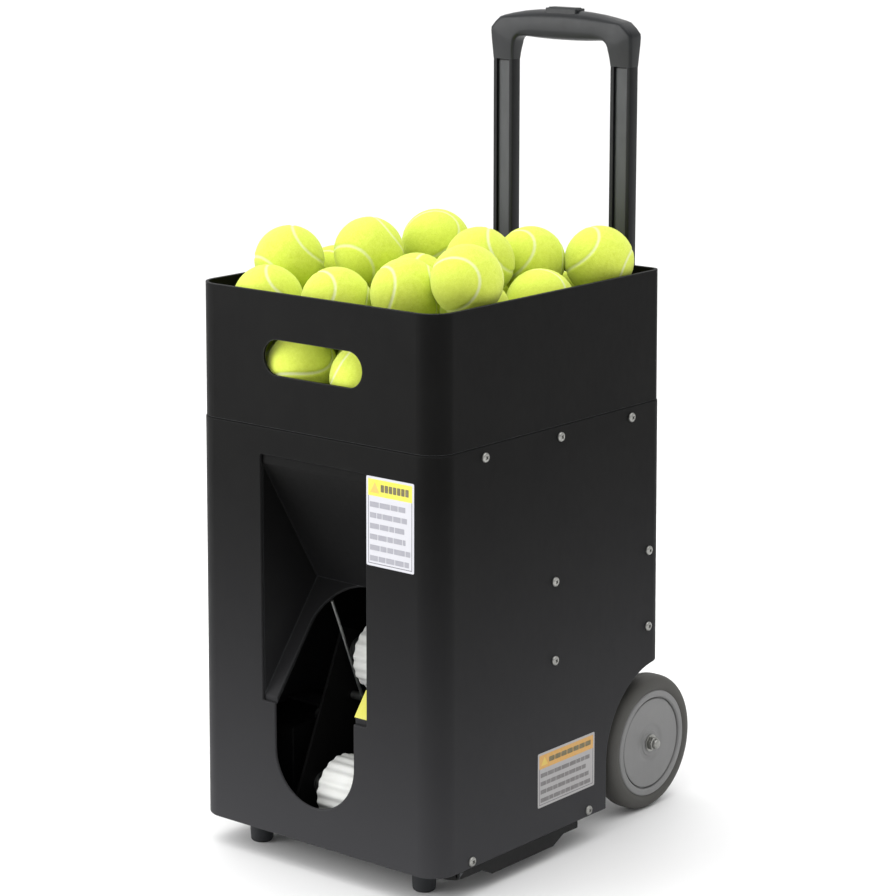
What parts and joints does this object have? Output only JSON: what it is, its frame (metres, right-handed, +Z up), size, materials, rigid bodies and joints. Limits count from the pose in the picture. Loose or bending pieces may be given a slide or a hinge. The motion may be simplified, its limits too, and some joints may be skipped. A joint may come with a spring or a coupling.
{
  "type": "tennis ball machine",
  "caption": "Wheeled tennis ball thrower: open ball hopper over a tall housing, a throwing head behind a slotted window, and a telescopic pull handle.",
  "frame": {"origin": "on the ground under the middle of the bounding box", "axes": "+Z up, -Y is the side that throws, +X is to the right of someone facing the front"},
  "size_m": [0.31, 0.4248, 0.8005],
  "materials": {
    "housing_black": "semi-matt moulded polyethylene",
    "inner_black": "semi-matt moulded plastic",
    "handle_black": "satin powder coat",
    "grip_black": "satin moulded plastic",
    "foot_rubber": "matt",
    "tyre_grey": "matt grey rubber",
    "hub_grey": "satin moulded plastic",
    "zinc": "bright zinc plate",
    "steel": "plain steel",
    "black_steel": "black enamel",
    "roller_white": "off-white polyurethane",
    "bronze": "sintered bronze",
    "label_white": "printed vinyl",
    "sticker_yellow": "vinyl",
    "motor_steel": "plated motor can",
    "battery_grey": "moulded case",
    "board_green": "circuit board",
    "strap_black": "woven strap",
    "control_black": "satin",
    "lamp_green": "clear lens"
  },
  "bodies": {
    "housing": {"cabinet_shell": "housing_black", "muzzle_recess": "housing_black", "hopper_shell": "housing_black", "hopper_floor": "inner_black", "base_pan": "inner_black", "wheel_arch_liner": "inner_black", "axle_brackets": "black_steel", "wheel_axle": "zinc", "axle_nuts": "zinc", "axle_spacers": "zinc", "front_feet": "foot_rubber", "foot_screws": "zinc", "side_screws": "zinc", "front_label": "label_white", "side_label": "label_white", "muzzle_sticker": "sticker_yellow", "handle_tube_left": "handle_black", "handle_tube_right": "handle_black", "handle_collars": "grip_black", "handle_beams": "inner_black", "rear_cross_member": "black_steel", "chassis_plate_left": "black_steel", "chassis_plate_right": "black_steel", "pivot_bushes": "bronze", "elevation_motor": "motor_steel", "ball_chute": "inner_black", "feed_motor": "motor_steel", "battery": "battery_grey", "battery_strap": "strap_black", "control_board": "board_green", "board_standoffs": "zinc", "control_panel": "control_black", "charge_socket": "control_black", "pilot_lamp": "lamp_green"},
    "head": {"head_plate_left": "black_steel", "head_plate_right": "black_steel", "head_spacers": "steel", "head_bearings": "steel", "upper_motor": "motor_steel", "lower_motor": "motor_steel", "stripper_bars": "steel", "pivot_pins": "steel"},
    "upper_wheel": {"upper_throw_wheel": "roller_white", "upper_shaft": "steel"},
    "lower_wheel": {"lower_throw_wheel": "roller_white", "lower_shaft": "steel"},
    "feeder": {"feed_rotor": "inner_black", "feed_shaft": "steel"},
    "road_wheel_left": {"wheel_hub_left": "hub_grey", "tyre_left": "tyre_grey"},
    "road_wheel_right": {"wheel_hub_right": "hub_grey", "tyre_right": "tyre_grey"},
    "handle": {"inner_tube_left": "handle_black", "inner_tube_right": "handle_black", "handle_grip": "grip_black"},
    "handle_button": {"handle_button": "grip_black"},
    "speed_knob": {"speed_knob": "control_black"},
    "interval_knob": {"interval_knob": "control_black"},
    "elevation_knob": {"elevation_knob": "control_black"},
    "power_rocker": {"power_rocker": "control_black"}
  },
  "joints": [
    {"name": "road_wheel_left_spin", "type": "hinge", "parent": "housing", "child": "road_wheel_left", "pos_m": [-0.1255, 0.1429, 0.0695], "axis": [1, 0, 0], "continuous": true},
    {"name": "road_wheel_right_spin", "type": "hinge", "parent": "housing", "child": "road_wheel_right", "pos_m": [0.1255, 0.1429, 0.0695], "axis": [1, 0, 0], "continuous": true},
    {"name": "head_tilt", "type": "hinge", "parent": "housing", "child": "head", "pos_m": [0, -0.1249, 0.1248], "axis": [1, 0, 0], "range_deg": [-12, 12]},
    {"name": "upper_wheel_spin", "type": "hinge", "parent": "head", "child": "upper_wheel", "pos_m": [0, -0.09656, 0.18935], "axis": [1, 0, 0], "continuous": true},
    {"name": "lower_wheel_spin", "type": "hinge", "parent": "head", "child": "lower_wheel", "pos_m": [0, -0.15091, 0.06556], "axis": [1, 0, 0], "continuous": true},
    {"name": "feeder_spin", "type": "hinge", "parent": "housing", "child": "feeder", "pos_m": [0, -0.0404, 0.409], "axis": [0, 0, 1], "continuous": true},
    {"name": "handle_slide", "type": "slide", "parent": "housing", "child": "handle", "axis": [0, 0, -1], "range_m": [0, 0.29]},
    {"name": "handle_button_press", "type": "slide", "parent": "handle", "child": "handle_button", "axis": [0, 0, -1], "range_m": [0, 0.003], "stiffness_N_per_m": 600},
    {"name": "speed_turn", "type": "hinge", "parent": "housing", "child": "speed_knob", "pos_m": [-0.03, 0.1376, 0.325], "axis": [0, -1, 0], "range_deg": [0, 270]},
    {"name": "interval_turn", "type": "hinge", "parent": "housing", "child": "interval_knob", "pos_m": [0, 0.1376, 0.325], "axis": [0, -1, 0], "range_deg": [0, 270]},
    {"name": "elevation_turn", "type": "hinge", "parent": "housing", "child": "elevation_knob", "pos_m": [0.03, 0.1376, 0.325], "axis": [0, -1, 0], "range_deg": [0, 270]},
    {"name": "power_rock", "type": "hinge", "parent": "housing", "child": "power_rocker", "pos_m": [-0.025, 0.13646, 0.269], "axis": [1, 0, 0], "range_deg": [0, 12]}
  ]
}
